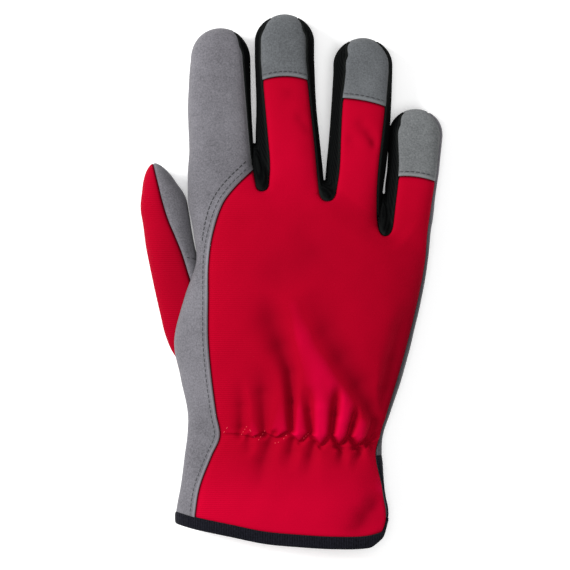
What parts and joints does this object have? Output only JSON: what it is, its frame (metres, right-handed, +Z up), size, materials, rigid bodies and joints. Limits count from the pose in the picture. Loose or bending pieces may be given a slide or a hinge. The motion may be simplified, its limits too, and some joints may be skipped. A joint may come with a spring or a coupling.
{
  "type": "insulated work glove",
  "caption": "Padded work glove for the right hand with a stretch cloth back, grey suede palm, index and fingertips, black finger strips, a gathered wrist and a bound cuff.",
  "frame": {"origin": "middle of the glove's footprint on the surface that it lies on, under the palm", "axes": "+X towards the little finger's side, +Y from the cuff to the fingertips, +Z up, out of the back of the hand"},
  "size_m": [0.1424, 0.2498, 0.0313],
  "materials": {
    "red_cloth": "fine ribbed stretch cloth with a soft sheen",
    "grey_leather": "matt suede-like synthetic leather",
    "black_knit": "matt stretch knit",
    "black_tape": "ribbed woven binding tape"
  },
  "bodies": {
    "root": {"back_panel": "red_cloth", "palm_panel": "grey_leather", "index_middle_strip": "black_knit", "middle_ring_strip": "black_knit", "ring_little_strip": "black_knit", "middle_fingertip_cap": "grey_leather", "ring_fingertip_cap": "grey_leather", "little_fingertip_cap": "grey_leather", "thumb_back_panel": "red_cloth", "thumb_palm_panel": "grey_leather", "cuff_binding": "black_tape"}
  },
  "joints": []
}
